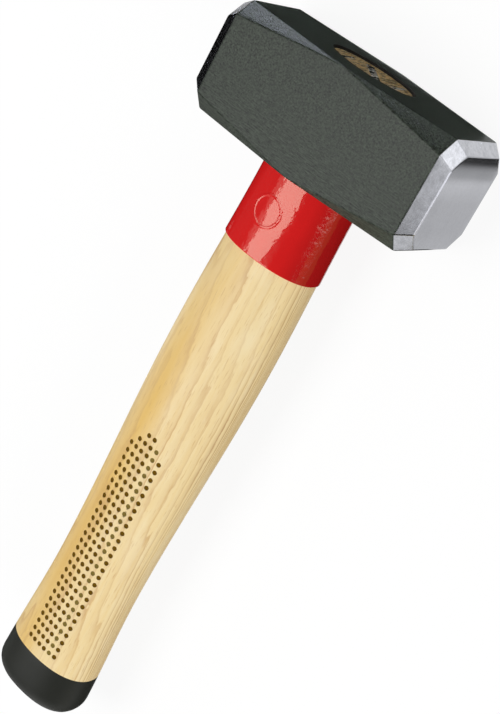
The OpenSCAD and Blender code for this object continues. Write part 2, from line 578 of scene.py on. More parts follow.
def painted_steel(settings):
    """Fine satin paint with a sandy grain, over grinding lines towards the handle."""
    paint = Paint("painted steel")
    grain = paint.noise(1 / settings.paint_grain, 2.0, 0.6)
    sand = paint.noise(0.75 / settings.paint_grain, 3.0, 0.7)
    patches = paint.noise(55.0, 4.0, 0.6)
    lines = paint.noise((330, 2500, 2500), 2.0, 0.6)
    ground_start = 0.006
    ground = paint.fade(paint.axes[1], ground_start, -60.0)
    speckle = paint.line(grain, 0.6, paint.times(sand, 0.4))
    speckle = paint.mix(paint.times(ground, 0.5), speckle, lines)
    tone = paint.mix(paint.ramp(speckle, (0.38, 0.0), (0.62, 1.0)),
                     scaled(settings.paint, 0.15), scaled(settings.paint, 1.85))
    return paint.finish(
        Base_Color=paint.mix(paint.times(patches, 0.25), tone, scaled(settings.paint, 0.7)),
        Roughness=paint.line(grain, 0.3, 0.29), Specular_IOR_Level=0.2,
        Normal=paint.bump(speckle, 0.0002, 0.6))


def shaded_eye_wall():
    """Forged steel inside the eye, with dark scale, made nearly black as painted shade in the
    eye's hollow.
    """
    paint = Paint("eye wall")
    scale = paint.noise(900.0, 4.0, 0.65)
    # Painted shade: both colours are nearly black, for the shade inside the eye
    tone = paint.mix(scale, (0.008, 0.007, 0.006), (0.030, 0.026, 0.022))
    return paint.finish(Base_Color=tone, Roughness=0.7, Specular_IOR_Level=0.1,
                        Normal=paint.bump(scale, 0.0001, 0.6))


def ground_steel(settings):
    """Bare steel with fine grinding lines, bright on the bevels and darker on the face, where
    the darkness is painted shade for the face's dimmer reflection.
    """
    paint = Paint("ground steel")
    lines = paint.noise((900, 200, 4200), 4.0, 0.7, (0.35, 0.0, 0.0))
    patches = paint.noise(110.0, 4.0, 0.6)
    speckle = paint.noise(1500.0, 3.0, 0.7)
    mottle = paint.noise(430.0, 3.0, 0.65)
    # Painted shade: the striking face is made darker than the bevels, for the dimmer reflection
    # it shows
    on_face = paint.math("GREATER_THAN", paint.math("ABSOLUTE", paint.axes[0]),
                         HEAD_HIGH.x - 0.5 * settings.rounding)
    dark = scaled(settings.steel, 0.5)
    tone = paint.layers(
        settings.steel,
        (on_face, scaled(settings.steel, 0.7)),
        (paint.ramp(lines, (0.4, 0.0), (0.75, 0.35)), dark),
        (paint.ramp(speckle, (0.45, 0.0), (0.75, 0.3)), dark),
        (paint.ramp(patches, (0.45, 0.0), (0.8, 0.35)), dark),
        (paint.times(paint.ramp(mottle, (0.45, 0.0), (0.68, 0.36)),
                     paint.minus(1.0, on_face)), dark))
    return paint.finish(
        Base_Color=tone, Metallic=1.0, Normal=paint.bump(lines, 0.00003, 0.3),
        Roughness=paint.line(patches, 0.14, settings.steel_roughness - 0.06))


def growth_rings(paint, spacing, sway):
    """A number that rises by one at each growth ring, round a pith that leans six degrees."""
    lean, pith = math.radians(-6.0), (0.07, 0.0, -0.11)
    leaning = paint.moved((1, 1, 1), (0.0, 0.0, lean), pith)
    radius = paint.vector("LENGTH", paint.vector("MULTIPLY", leaning, (1, 0, 1)))
    rings = paint.times(radius, 1 / spacing)
    ripple = paint.noise((190, 60, 190), 3.0, 0.6)
    uneven = paint.noise((260, 3, 260), 1.0, 0.5, shift=(0.6, 0.0, 0.9))
    for wave, size in ((sway, 2.4), (ripple, 0.8), (uneven, 1.5)):
        rings = paint.line(wave, size, rings)
    # Below this height, down the handle's edges, they crowd together
    crowd_start = 0.0280
    lowness = paint.math("MAXIMUM", paint.minus(crowd_start, paint.axes[2]), 0.0)
    return paint.line(paint.times(lowness, lowness), 75000.0, rings)


def hickory(settings):
    """Clear-lacquered hickory: growth rings round a far pith, a warm band and fine fibres."""
    paint = Paint("hickory")
    sway = paint.noise((30, 8, 30), 2.0, 0.5)
    fading = paint.noise((70, 18, 70), 2.0, 0.5, shift=(0.7, 0.2, 0.4))
    zones = paint.noise((45, 12, 45), 2.0, 0.5, shift=(0.3, 0.1, 0.2))
    cream = paint.noise((150, 42, 150), 4.0, 0.6, shift=(0.1, 0.5, 0.3))
    streaks = paint.noise((700, 22, 700), 5.0, 0.65)
    pores = paint.noise((2600, 150, 2600), 2.0, 0.6)
    edge_start = 0.030
    edge = paint.fade(paint.axes[2], edge_start, -140.0)
    # Late wood darkens towards the end of each ring, more in some rings than in others
    rings = growth_rings(paint, settings.ring, sway)
    ring_tone = paint.node("ShaderNodeTexWhiteNoise", {"W": paint.math("FLOOR", rings)},
                           noise_dimensions="1D")[0]
    late = paint.times(
        paint.ramp(paint.math("FRACT", rings), (0.0, 0.5), (0.06, 0.0), (0.35, 0.04),
                   (0.8, 0.36), (0.95, 1.0)),
        paint.ramp(fading, (0.35, 0.3), (0.65, 0.85)),
        paint.ramp(ring_tone, (0.0, 0.5), (1.0, 1.0)))
    late = paint.math("MULTIPLY", late, paint.line(edge, 0.9, 1.0), clamp=True)
    # A warm band left of the middle sways, and starts below the collar
    band_middle, band_reach, swing = -0.0095, 0.011, 0.02
    drift = paint.line(sway, swing, -band_middle - swing / 2)
    off_band = paint.math("ABSOLUTE", paint.plus(paint.axes[0], drift))
    below = paint.fade(paint.axes[1], COLLAR_END, -12.0)
    warmth = paint.times(
        paint.ramp(paint.times(off_band, 1 / band_reach), (0.0, 0.76), (0.45, 0.55),
                   (1.0, 0.0)),
        paint.ramp(zones, (0.3, 0.35), (0.6, 1.0)),
        paint.ramp(below, (0.0, 0.35), (0.5, 1.0)))
    warmth = paint.line(ring_tone, 0.16, warmth)
    tone = paint.layers(
        settings.pale,
        (paint.ramp(cream, (0.48, 0.0), (0.66, 0.6)), settings.cream),
        (warmth, settings.warm),
        (late, paint.mix(edge, settings.line, scaled(settings.line, 0.8))),
        (paint.ramp(streaks, (0.42, 0.0), (0.75, 0.22)), settings.warm),
        (paint.ramp(pores, (0.60, 0.0), (0.72, 0.5)), settings.line))
    height = paint.minus(streaks, paint.ramp(pores, (0.6, 0.0), (0.75, 0.8)))
    return paint.finish(
        Base_Color=tone, Roughness=paint.line(streaks, 0.12, 0.36),
        Normal=paint.bump(height, 0.00004, 0.5), Specular_IOR_Level=0.25)


def end_grain(settings):
    """The tenon's sawn end: crushed golden fibres with stains, painted shade in the gaps between
    them and painted glints on pale fibre ends.
    """
    paint = Paint("end grain")
    stains = paint.noise((330, 10, 90), 3.0, 0.6, (0.0, 0.4, 0.0))
    fibres = paint.noise((1700, 10, 330), 3.0, 0.65, (0.0, 0.25, 0.0))
    painted_glints = paint.noise((1500, 10, 420), 2.0, 0.6, (0.0, -0.3, 0.0), (0.3, 0.0, 0.2))
    # Painted shade darkens the gaps between the fibres, and painted glints make some fibre ends
    # near white
    tone = paint.layers(
        settings.end_grain,
        (paint.ramp(fibres, (0.40, 0.9), (0.52, 0.0)), scaled(settings.end_grain, 0.22)),
        (paint.ramp(stains, (0.48, 0.0), (0.60, 0.8)), scaled(settings.end_grain, 0.14)),
        (paint.ramp(painted_glints, (0.54, 0.0), (0.62, 0.9)), (1.0, 0.84, 0.52)))
    return paint.finish(Base_Color=tone, Roughness=0.45, Specular_IOR_Level=0.6,
                        Normal=paint.bump(fibres, 0.0012, 0.8))


def burnt_wood(name, burnt):
    """Scorched wood inside a pressed dot."""
    paint = Paint(name)
    char = paint.noise(2600.0, 3.0, 0.6)
    tone = paint.mix(char, scaled(burnt, 0.55), scaled(burnt, 1.5))
    return paint.finish(Base_Color=tone, Roughness=0.8, Specular_IOR_Level=0.1,
                        Normal=paint.bump(char, 0.00006, 0.6))


def red_plastic(settings):
    """Glossy moulded plastic with a slightly wavy skin, and painted shade that darkens it
    towards +X.
    """
    paint = Paint("red plastic")
    waves = paint.noise((230, 150, 230), 3.0, 0.6)
    peel = paint.noise(1500.0, 2.0, 0.5)
    half_width = 0.0175
    # Painted shade: right of the middle the colour darkens towards +X, the side that gets less
    # light
    depth = paint.fade(paint.axes[0], -half_width, 0.5 / half_width)
    tone = paint.mix(waves, scaled(settings.plastic, 0.94), scaled(settings.plastic, 1.05))
    tone = paint.mix(paint.ramp(depth, (0.55, 0.0), (0.8, 0.25), (1.0, 1.0)), tone,
                     scaled(settings.plastic, 0.58))
    return paint.finish(
        Base_Color=tone, Roughness=paint.line(peel, 0.05, 0.07),
        Normal=paint.bump(peel, 0.0000012, 0.4, paint.bump(waves, 0.00028, 0.55)),
        Specular_Tint=(0.95, 1.0, 0.82))


def black_coat(settings):
    """Satin black dip coat."""
    paint = Paint("black coat")
    skin = paint.noise(700.0, 3.0, 0.6)
    flow = paint.noise((60, 30, 60), 2.0, 0.5)
    tone = paint.mix(flow, scaled(settings.coat, 0.85), scaled(settings.coat, 1.2))
    return paint.finish(
        Base_Color=tone, Roughness=paint.line(skin, 0.14, 0.42), Specular_IOR_Level=0.2,
        Normal=paint.bump(skin, 0.00001, 0.5, paint.bump(flow, 0.0003, 0.4)))


def wedge_steel(settings):
    """Sheared and hammered steel: dark scale and bright bare steel, whose brightness is partly
    painted glints.
    """
    paint = Paint("wedge steel")
    scale = paint.noise((1100, 700, 380), 3.0, 0.65, (0.0, 0.3, 0.0))
    dents = paint.noise((800, 800, 300), 2.0, 0.5)
    # The bright colour is partly bare steel, partly painted glints
    tone = paint.mix(paint.ramp(scale, (0.44, 1.0), (0.56, 0.0)), settings.steel,
                     scaled(settings.steel, 0.30))
    return paint.finish(
        Base_Color=tone, Metallic=0.6, Roughness=paint.plus(scale, -0.2),
        Normal=paint.bump(scale, 0.0003, 0.7, paint.bump(dents, 0.0035, 0.9)))


# ---------------------------------------------------------------- dots, by Geometry Nodes

DOT_CORNERS = ("Upper left", "Upper right", "Lower left", "Lower right")
DOT_INPUTS = {
    "Object": ("Carrier",),
    "Vector": DOT_CORNERS,
    "Int": ("Rows", "Dots", "Extra dots", "Seed"),
    "Float": ("Diameter", "Depth", "Scatter"),
    "Material": ("Burnt wood", "Lightly burnt wood"),
}
# The row, counted from 0, that is burnt more lightly, and how much less deep it is
LIGHT_ROW, LIGHT_LESS = 4.0, 0.35
# The shallowest and the deepest dot, as shares of the depth
DOT_DEPTHS = (0.85, 1.15)
# Dots are dropped on the grip from this height
DROP = 0.05


def dot_tree():
    """The node tree that sets the dot cutters out on the grip."""
    tree = bpy.data.node_groups.new(PREFIX + "dots", "GeometryNodeTree")
    tree.interface.new_socket("Geometry", in_out="OUTPUT", socket_type="NodeSocketGeometry")
    for kind, names in DOT_INPUTS.items():
        for name in names:
            tree.interface.new_socket(name, in_out="INPUT", socket_type="NodeSocket" + kind)
    nodes = Nodes(tree)
    node = nodes.node
    given = node("NodeGroupInput")

    def blend(factor, a, b):
        return node("ShaderNodeMix", {0: factor, 4: a, 5: b}, data_type="VECTOR",
                    clamp_factor=False)[1]

    # Each dot's row and its place along the row come from its number
    index = node("GeometryNodeInputIndex")[0]
    run = nodes.plus(given["Dots"], given["Extra dots"])
    row = nodes.math("FLOOR", nodes.math("DIVIDE", nodes.plus(index, 0.5), run))
    at = nodes.minus(index, nodes.times(row, run))
    last_row = nodes.minus(given["Rows"], 1.0)
    across = nodes.math("DIVIDE", row, last_row)
    along = nodes.math("DIVIDE", nodes.minus(at, given["Extra dots"]),
                       nodes.minus(given["Dots"], 1.0))
    spot = blend(along, blend(across, given["Upper left"], given["Upper right"]),
                 blend(across, given["Lower left"], given["Lower right"]))
    off_middle = nodes.math("ABSOLUTE", nodes.minus(row, nodes.times(last_row, 0.5)))
    kept = node("FunctionNodeCompare", {0: at, 1: nodes.minus(off_middle, 1.0)},
                data_type="FLOAT", operation="GREATER_THAN")[0]
    # A little scatter, then down onto the grip
    stray = node("FunctionNodeRandomValue", {0: (-1, -1, 0), 1: (1, 1, 0),
                                             "Seed": given["Seed"]},
                 data_type="FLOAT_VECTOR")[0]
    stray = node("ShaderNodeVectorMath", {0: stray, "Scale": given["Scatter"]},
                 operation="SCALE")[0]
    spot = nodes.vector("ADD", nodes.vector("ADD", spot, stray), (0, 0, DROP))
    carrier = node("GeometryNodeObjectInfo", {"Object": given["Carrier"]})["Geometry"]
    ray = node("GeometryNodeRaycast", {"Target Geometry": carrier, "Source Position": spot,
                                       "Ray Direction": (0, 0, -1), "Ray Length": 2 * DROP})
    turn = node("FunctionNodeAlignRotationToVector", {"Vector": ray["Hit Normal"]},
                axis="Z")[0]
    points = node("GeometryNodePoints", {"Count": nodes.times(given["Rows"], run),
                                         "Position": ray["Hit Position"]})[0]
    light = node("FunctionNodeCompare", {0: row, 1: LIGHT_ROW, "Epsilon": 0.1},
                 data_type="FLOAT", operation="EQUAL")[0]
    points = node("GeometryNodeStoreNamedAttribute", {
        "Geometry": points, "Name": "light", "Value": light},
        data_type="BOOLEAN", domain="POINT")[0]
    # A flattened ball for each dot, no two quite as deep
    uneven = node("FunctionNodeRandomValue", {2: DOT_DEPTHS[0], 3: DOT_DEPTHS[1],
                                              "Seed": given["Seed"]}, data_type="FLOAT")[1]
    width = nodes.times(given["Diameter"], 0.5)
    deep = nodes.times(given["Depth"], uneven, nodes.line(light, -LIGHT_LESS, 1.0))
    size = node("ShaderNodeCombineXYZ", {0: width, 1: width, 2: deep})[0]
    ball = node("GeometryNodeMeshUVSphere", {"Segments": 14, "Rings": 8, "Radius": 1.0})[0]
    dots = node("GeometryNodeInstanceOnPoints", {
        "Points": points, "Selection": kept, "Instance": ball,
        "Rotation": turn, "Scale": size})[0]
    dots = node("GeometryNodeRealizeInstances", {0: dots})[0]
    is_light = node("GeometryNodeInputNamedAttribute", {"Name": "light"},
                    data_type="BOOLEAN")[0]
    for which, finish in ((True, "Burnt wood"), (is_light, "Lightly burnt wood")):
        dots = node("GeometryNodeSetMaterial", {
            "Geometry": dots, "Selection": which, "Material": given[finish]})[0]
    nodes.put(dots, tree.nodes.new("NodeGroupOutput").inputs[0])
    return tree


def run_tree(name, tree, values):
    """A plain mesh object made by a node tree with those named inputs."""
    piece = show(name, bpy.data.meshes.new(name))
    change = piece.modifiers.new("Nodes", "NODES")
    change.node_group = tree
    for socket in tree.interface.items_tree:
        if socket.in_out == "INPUT":
            change[socket.identifier] = values[socket.name]
    settle(piece)
    return piece


# ---------------------------------------------------------------- operators

class HammerOperator:
    """What every operator of this file shares."""
    bl_options = {"REGISTER", "UNDO"}

    @property
    def settings(self):
        """The hammer's settings in this scene."""
        return bpy.context.scene.club_hammer


class HAMMER_OT_set_camera(HammerOperator, bpy.types.Operator):
    """Sets the camera that the named image points settle"""
    bl_idname = "club_hammer.set_camera"
    bl_label = "Set Camera"

    def execute(self, context):
        data = bpy.data.cameras.new("Camera")
        data.sensor_fit = "AUTO"
        data.sensor_width = CAMERA_SENSOR
        data.lens = CAMERA_LENS
        data.clip_start, data.clip_end = 0.01, 50.0
        camera = show("Camera", data)
        camera.matrix_world = Matrix.Translation(CAMERA_PLACE) @ camera_turn().to_4x4()
        context.scene.camera = camera
        return {"FINISHED"}


class HAMMER_OT_make_head(HammerOperator, bpy.types.Operator):
    """Forged head: rounded edges, painted body, ground ends and the oval eye"""
    bl_idname = "club_hammer.make_head"
    bl_label = "Make Head"

    EYE_SIDES = 96
    # The eye's cutter stands out this far at both ends
    BEYOND = 0.001
    # Points this close to a striking face's plane belong to the face
    FACE_DEPTH = 0.001

    def execute(self, context):
        settings = self.settings.head
        eye, outside = head_points()
        body = bmesh.new()
        for point in np.unique(np.round(outside, 6), axis=0):
            body.verts.new(point)
        bmesh.ops.convex_hull(body, input=body.verts)
        make_flats_whole(body)
        bmesh.ops.recalc_face_normals(body, faces=body.faces)
        head = show_body("hammer_head", body)
        work(head, "BEVEL", width=settings.rounding, segments=settings.steps,
             limit_method="NONE", use_clamp_overlap=False)
        cut(head, self.eye_cutter(eye))
        head.data.materials.clear()
        for finish in (painted_steel(settings), ground_steel(settings), shaded_eye_wall()):
            head.data.materials.append(finish)
        self.lay_out(head, eye, outside, 0.1 * settings.rounding)
        shade(head, 50)
        work(head, "WEIGHTED_NORMAL", keep_sharp=True)
        finish_piece(head, "head")
        return {"FINISHED"}

    def eye_cutter(self, eye):
        """The eye's inside as a closed solid, a little longer than the eye."""
        rows = outline(eye)
        top, rim, foot = rows[0], rows[1], rows[-1]
        flare = (top[1] - rim[1]) / (top[0] - rim[0])
        rows = (top + self.BEYOND * np.array((1.0, flare, flare)), top, rim, foot,
                foot - (self.BEYOND, 0.0, 0.0))
        return loft("eye_cutter", ovals(rows, ELLIPSE, self.EYE_SIDES))

    def lay_out(self, head, eye, outside, margin):
        """Gives each face its finish: paint 0, ground steel 1 or the eye's wall 2."""
        edges = np.abs(outside[:, 0])
        paint_end = edges[edges < HEAD_HIGH.x - self.FACE_DEPTH].max() + margin
        eye_x, eye_z = np.abs(eye[:, 0]).max(), np.abs(eye[:, 2] - MID_Z).max()
        for face in head.data.polygons:
            x, y, z = face.center
            in_wall = ((x / eye_x) ** 2 + ((z - MID_Z) / eye_z) ** 2 < 1.0
                       and HEAD_FOOT + NEAR < y < HEAD_HIGH.y - NEAR)
            face.material_index = 2 if in_wall else int(abs(x) > paint_end)


class HAMMER_OT_make_handle(HammerOperator, bpy.types.Operator):
    """Hickory handle with its wedged tenon and the pressed dots of the grip"""
    bl_idname = "club_hammer.make_handle"
    bl_label = "Make Handle"

    # The tenon's gap to the eye, and the rounding of its end
    GAP, SOFT = 0.0001, 0.0002
    # Faces in the eye that look this much along the handle are end grain
    END_FACES = 0.3

    def execute(self, context):
        settings = self.settings.handle
        grip = Grip()
        steps = round((HEAD_FOOT - DIP_EDGE) / settings.step)
        shaft = [grip.row(y) for y in np.linspace(HEAD_FOOT, DIP_EDGE, steps + 1)]
        handle = loft("hickory_handle", ovals(self.tenon(), ELLIPSE, settings.sides)
                      + ovals([*shaft, *grip.covered], grip.power, settings.sides))
        wood = hickory(settings)
        burnt = burnt_wood("burnt wood", self.settings.dots.burnt)
        light = burnt_wood("lightly burnt wood", self.settings.dots.scorched)
        for finish in (wood, burnt, light, end_grain(settings)):
            handle.data.materials.append(finish)
        cutters = self.dots(handle, burnt, light)
        for node in WEDGES:
            cut(handle, show_body("kerf", merged(node), wood))
        cut(handle, cutters)
        end = handle.data.materials.find(PREFIX + "end grain")
        for face in handle.data.polygons:
            if face.center.y > HEAD_FOOT and face.normal.y > self.END_FACES:
                face.material_index = end
        shade(handle, 32)
        finish_piece(handle, "handle")
        return {"FINISHED"}

    def tenon(self):
        """Rows from the tenon's soft-edged end down to the shoulder, from the CAD model."""
        top, half_x, half_z = outline(cad_points("handle"))[0]
        eye, _ = head_points()
        narrow = (outline(eye)[-1][1] - self.GAP) / half_x
        rows = [(top, half_x - self.SOFT, half_z - self.SOFT)]
        below = top - self.SOFT
        for part in (0.0, 0.25, 0.5, 0.75, 1.0):
            scale = 1 + (narrow - 1) * part
            rows.append((below + (HEAD_FOOT - below) * part, half_x * scale, half_z * scale))
        return rows

    def dots(self, handle, burnt, light):
        """Cutters for the pressed dots, set out by a node tree."""
        settings = self.settings.dots
        skin = surface(handle)
        corners = {name: place("dots_" + name.lower().replace(" ", "_"), skin)
                   for name in DOT_CORNERS}
        return run_tree("dot_cutters", dot_tree(), {
            "Carrier": handle, **corners, "Rows": settings.rows, "Dots": settings.count,
            "Extra dots": settings.extra, "Diameter": settings.diameter,
            "Depth": settings.depth, "Scatter": settings.scatter, "Seed": settings.seed,
            "Burnt wood": burnt, "Lightly burnt wood": light})


class HAMMER_OT_make_collar(HammerOperator, bpy.types.Operator):
    """Glossy collar sleeve with a plain raised ring"""
    bl_idname = "club_hammer.make_collar"
    bl_label = "Make Collar Sleeve"

    # Faces around the sleeve, down its outside, round its lip and up its bore
    SIDES, OUTSIDE_STEPS, LIP_STEPS, BORE_STEPS = 320, 92, 5, 12

    def execute(self, context):
        settings = self.settings.collar
        grip = Grip()
        points = cad_points("collar_sleeve")
        at_head = ((np.abs(points[:, 1] - HEAD_FOOT) < NEAR)
                   & (np.abs(points[:, 2] - MID_Z) < NEAR))
        reach = np.abs(points[at_head, 0]) - grip.row(HEAD_FOOT)[1]
        outer, inner = reach.max(), reach.min()
        lip = min(settings.lip, (outer - inner) / 2)
        lip_start = COLLAR_END + lip
        rows = [grip.row(y, outer)
                for y in np.linspace(HEAD_FOOT, lip_start, self.OUTSIDE_STEPS + 1)]
        rows += [grip.row(lip_start - lip * math.sin(a), outer - lip * (1 - math.cos(a)))
                 for a in quarter(self.LIP_STEPS)[1:]]
        rows += [grip.row(y, inner)
                 for y in np.linspace(COLLAR_END, HEAD_FOOT, self.BORE_STEPS + 1)]
        collar = loft("collar_sleeve_red", ovals(rows, grip.power, self.SIDES), looped=True)
        self.raise_ring(collar, place("collar_ring", surface(collar)), settings)
        collar.data.materials.append(red_plastic(settings))
        shade(collar, 40)
        finish_piece(collar, "collar_sleeve")
        return {"FINISHED"}

    def raise_ring(self, collar, centre, settings):
        """Lifts the skin in a rounded line, round a centre on the upper side."""
        for vert in collar.data.vertices:
            away = math.hypot(vert.co.x - centre.x, vert.co.y - centre.y)
            off = abs(away - settings.ring_radius) / (settings.ring_width / 2)
            if off < 1 and vert.co.z > MID_Z:
                vert.co.z += settings.ring_height * (0.5 + 0.5 * math.cos(math.pi * off))


class HAMMER_OT_make_wedges(HammerOperator, bpy.types.Operator):
    """Three steel wedges driven into the tenon"""
    bl_idname = "club_hammer.make_wedges"
    bl_label = "Make Wedges"

    def execute(self, context):
        settings = self.settings.wedges
        steel = wedge_steel(settings)
        for node in WEDGES:
            body = merged(node)
            bmesh.ops.bevel(body, geom=body.edges, offset=settings.rounding, segments=2,
                            profile=0.5, affect="EDGES", clamp_overlap=True)
            wedge = show_body(node + "_steel", body, steel)
            shade(wedge, 40)
            finish_piece(wedge, node)
        return {"FINISHED"}


class HAMMER_OT_make_dip(HammerOperator, bpy.types.Operator):
    """Black dipped end of the handle"""
    bl_idname = "club_hammer.make_dip"
    bl_label = "Make Dipped End"

    LIP_STEPS = 4

    def execute(self, context):
        settings = self.settings.dip
        grip = Grip()
        inner = grip.covered
        rows = outline(cad_points("end_dip"))
        # The coat's outside is wider than the wood, or past the wood's end
        wood = np.interp(-rows[:, 0], -inner[:, 0], inner[:, 1])
        outer = rows[(rows[:, 1] > wood + NEAR) | (rows[:, 0] < inner[-1, 0] - NEAR)]
        lip = min(settings.lip, (rows[0, 1] - wood[0]) / 2)
        edge = []
        for a in quarter(self.LIP_STEPS):
            y, half_x, half_z = grip.row(DIP_EDGE, -lip * (1 - math.sin(a)))
            edge.append((y - lip * (1 - math.cos(a)), half_x, half_z))
        dip = loft("butt_dip", ovals([*inner[::-1], *edge, *outer[1:]], grip.power,
                                     self.settings.handle.sides))
        dip.data.materials.append(black_coat(settings))
        shade(dip, 40)
        finish_piece(dip, "end_dip")
        return {"FINISHED"}


def seen_or_mirrored(nodes):
    """1 for camera, glossy and transmission rays, 0 for the rays that light things."""
    path = nodes.node("ShaderNodeLightPath")
    total = path["Is Camera Ray"]
    for name in ("Is Glossy Ray", "Is Transmission Ray"):
        total = nodes.math("ADD", total, path[name], clamp=True)
    return total


def stage_nodes(piece, name):
    """The nodes of a new stage material on a piece, without a shader."""
    material = bpy.data.materials.new(name)
    material.use_nodes = True
    material.cycles.emission_sampling = "NONE"
    piece.data.materials.append(material)
    tree = material.node_tree
    tree.nodes.remove(tree.nodes["Principled BSDF"])
    return Nodes(tree)


BLACK = (0.0, 0.0, 0.0)


class HAMMER_OT_make_stage(HammerOperator, bpy.types.Operator):
    """Plain pale floor, soft lamps, cards and the surround"""
    bl_idname = "club_hammer.make_stage"
    bl_label = "Make Stage"

    FLOOR_HALF = 6.0
    DOME_CENTRE = Vector((0.0, -0.03, MID_Z))
    LAMP_DISTANCE, CARD_DISTANCE = 1.0, 0.7
    # Faces of a dome card, along its turn and along its tilt
    CARD_STEPS, CARD_ROWS = 24, 12
    # The height of a card that lies on the floor
    LIFT = 0.0005

    # Lamps on the dome: the setting of their power, the size, the turn and the tilt
    LAMPS = (
        ("Key lamp", "key_power", (0.55, 0.77), -19.0, -9.0),
        ("Right lamp", "right_power", (0.7, 0.7), 75.0, -20.0),
        ("Left lamp", "left_power", (0.7, 0.7), -70.0, -20.0),
    )
    # The one lamp that also shows in mirrored rays
    MIRRORED_LAMP = "Key lamp"
    # Cards on the studio's dome, which only mirrored rays see: the turn about the handle
    # from straight up towards +X, the tilt towards the head, and the glow
    DOME_CARDS = (
        ("Left flag", (-176, -42), (-75, 4), (0.05, 0.05, 0.05)),
        ("Right flag", (-4, 38), (-70, -6), BLACK),
        ("Far right flag", (38, 70), (-70, -13.0), BLACK),
        ("Right card", (70, 91), (-45, -13.5), (0.42, 0.34, 0.13)),
        ("Edge card", (56, 91), (-13, -5), (2.4, 2.4, 2.5)),
        ("Upper left card", (-94, -66), (41, 60), (18.0, 19.0, 22.5)),
        ("Corner card", (78, 100), (34, 54), (2.0, 2.0, 2.0)),
    )
    # Cards close to the hammer: the glow and the corners, which lie on the floor unless
    # they have a height
    NEAR_CARDS = (
        ("Left floor flag", BLACK, (
            (-0.01, -0.085), (-0.01, -0.021), (-0.05, -0.034), (-0.09, -0.034),
            (-0.09, 0.03), (-0.16, 0.03), (-0.16, -0.085))),
        ("Handle floor flag", BLACK, (
            (-0.01, -0.085), (-0.055, -0.085), (-0.055, -0.14), (-0.16, -0.14),
            (-0.16, -0.32), (-0.01, -0.32))),
        ("Far left floor flag", BLACK, (
            (-0.16, -0.12), (-0.16, 0.03), (-1.2, 0.16), (-1.2, -0.5))),
        ("Left horizon flag", BLACK, (
            (-0.6, -0.30, 0.0), (-0.6, 0.09, 0.0), (-0.6, 0.09, 0.07), (-0.6, -0.30, 0.07))),
        ("Right floor flag", BLACK, (
            (0.018, -0.6), (0.06, -0.6), (0.06, -0.1), (0.085, -0.1), (0.085, -0.03),
            (0.018, -0.022))),
        ("Right floor card", (0.38, 0.31, 0.11), (
            (0.085, -0.03), (0.085, -0.1), (0.7, -0.30), (0.7, -0.12))),
        ("Edge floor card", (2.4, 2.4, 2.5), (
            (0.10, -0.031), (0.7, -0.118), (0.7, -0.02), (0.10, 0.015))),
        ("Upper floor flag", BLACK, (
            (-0.8, 0.0205), (0.036, 0.0205), (0.036, 0.8), (-0.8, 0.8))),
        ("Head flag", BLACK, (
            (-0.10, 0.0215, 0.0405), (0.05, 0.0215, 0.0405), (0.05, 0.0215, 0.060),
            (-0.10, 0.0215, 0.060))),
        ("Collar flag", BLACK, (
            (0.010, -0.033, 0.080), (0.075, -0.033, 0.080), (0.075, -0.065, 0.080),
            (-0.011, -0.065, 0.080))),
    )
    # What the right striking face mirrors: a slanted card, by rows of (y, glow)
    FACE_ROWS = ((0.0180, 0.05), (0.0134, 0.05), (0.0128, 0.26), (0.0121, 0.45),
                 (0.0110, 0.62), (0.0084, 0.70), (0.0069, 1.00), (0.0055, 1.10),
                 (0.0030, 1.04), (-0.0012, 0.90), (-0.0110, 0.88), (-0.0200, 0.96))
    FACE_FOOT, FACE_TOP = (0.0493, 0.0, LIFT), (0.0529, -0.0018, 0.032)

    def execute(self, context):
        settings = self.settings.stage
        context.scene.view_settings.view_transform = "Standard"
        self.floor(settings)
        self.surround(context.scene, settings)
        for name, setting, size, turn, tilt in self.LAMPS:
            self.lamp(name, getattr(settings, setting), size, turn, tilt)
        for name, turns, tilts, glow in self.DOME_CARDS:
            self.dome_card(name, turns, tilts, glow)
        for name, glow, corners in self.NEAR_CARDS:
            points = [(*corner, self.LIFT)[:3] for corner in corners]
            self.card(name, points, [range(len(points))], [glow] * len(points))
        self.face_card()
        return {"FINISHED"}

    def on_dome(self, turn, tilt, distance):
        """The place on the studio's dome at a turn and a tilt in degrees."""
        turn, tilt = math.radians(turn), math.radians(tilt)
        return self.DOME_CENTRE + distance * Vector((
            math.cos(tilt) * math.sin(turn), math.sin(tilt), math.cos(tilt) * math.cos(turn)))

    def floor(self, settings):
        """A large pale floor that shows white but keeps the hammer's shadow."""
        half = self.FLOOR_HALF
        corners = [(-half, -half, 0), (half, -half, 0), (half, half, 0), (-half, half, 0)]
        floor = show_faces("floor", corners, [range(4)])
        nodes = stage_nodes(floor, "Pale floor")
        node = nodes.node
        seen = seen_or_mirrored(nodes)
        pale = node("ShaderNodeBsdfDiffuse", {0: nodes.mix(seen, settings.floor, (1, 1, 1))})
        # The shadow's share fades with the distance from the hammer
        distance = nodes.vector("LENGTH", node("ShaderNodeTexCoord")["Object"])
        white = node("ShaderNodeMapRange", {
            "Value": distance, "From Min": 0.3 * settings.shade_reach,
            "From Max": settings.shade_reach, "To Min": 1.0 - settings.shade,
            "To Max": 1.0}, interpolation_type="SMOOTHSTEP")[0]
        shown = node("ShaderNodeMixShader", {0: nodes.times(seen, white), 1: pale[0],
                                             2: node("ShaderNodeEmission")[0]})
        # Seen from below, the floor is clear
        both = node("ShaderNodeMixShader", {
            0: node("ShaderNodeNewGeometry")["Backfacing"], 1: shown[0],
            2: node("ShaderNodeBsdfTransparent")[0]})
        nodes.put(both[0], nodes.tree.nodes["Material Output"].inputs[0])
        floor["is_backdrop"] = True

    def surround(self, scene, settings):
        """A plain surround: white where it is seen or mirrored, dim where it lights."""
        world = bpy.data.worlds.new("Surround")
        scene.world = world
        world.use_nodes = True
        world.cycles.sampling_method = "NONE"
        nodes = Nodes(world.node_tree)
        strength = nodes.node("ShaderNodeMapRange", {
            "Value": seen_or_mirrored(nodes), "To Min": settings.surround, "To Max": 1.0})
        back = nodes.tree.nodes["Background"].inputs
        nodes.put(strength[0], back["Strength"])
        nodes.put((1, 1, 1), back["Color"])

